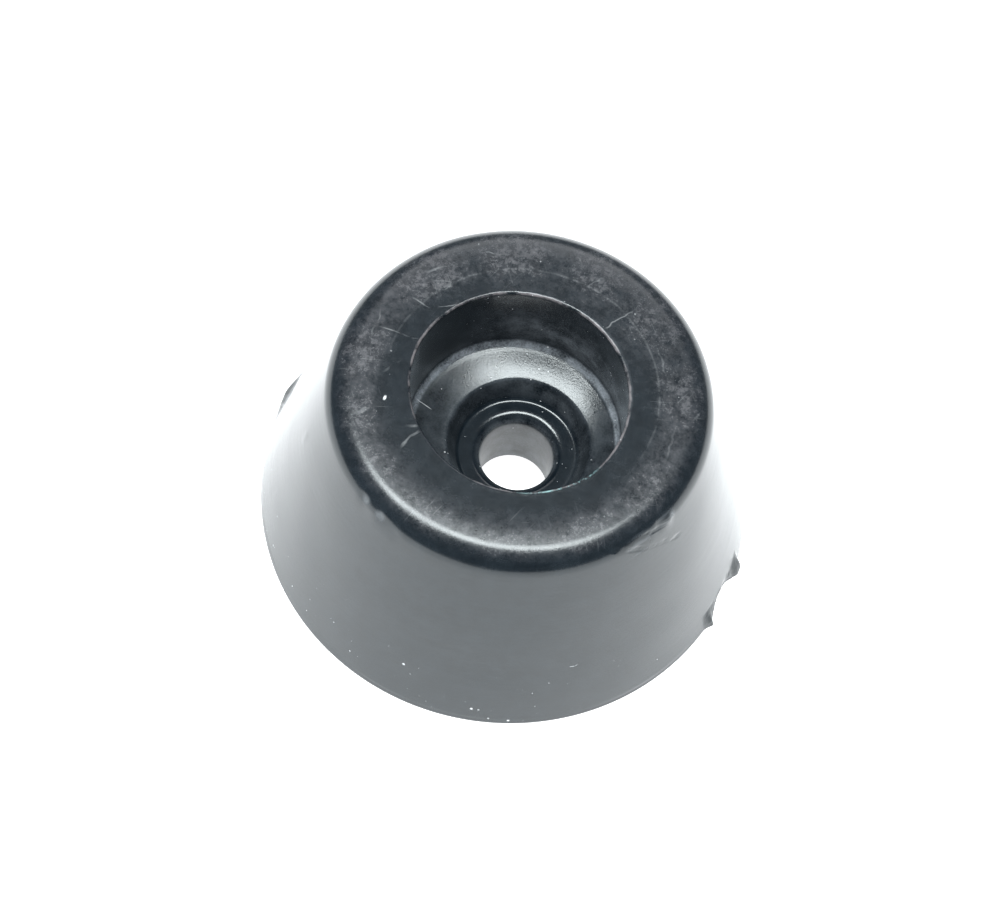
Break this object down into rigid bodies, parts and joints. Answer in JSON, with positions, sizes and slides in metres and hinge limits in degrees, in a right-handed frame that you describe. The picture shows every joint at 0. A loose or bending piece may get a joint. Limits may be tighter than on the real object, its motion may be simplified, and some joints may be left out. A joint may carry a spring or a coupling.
{
  "type": "rubber foot",
  "caption": "Round tapered black rubber foot, moulded in one piece, with a deep recess for a screw's head and a clearance hole through the middle.",
  "frame": {"origin": "centre of the wide mounting face", "axes": "+Z along the foot's axis from the wide mounting face to the narrow face that stands on the bench; +X from the axis towards the torn gate mark, which is also the way the screw hole is off centre"},
  "size_m": [0.0325, 0.032, 0.015],
  "materials": {
    "rubber": "moulded black rubber, satin flank, matt scuffed and dusty narrow face"
  },
  "bodies": {
    "root": {"foot": "rubber"}
  },
  "joints": []
}
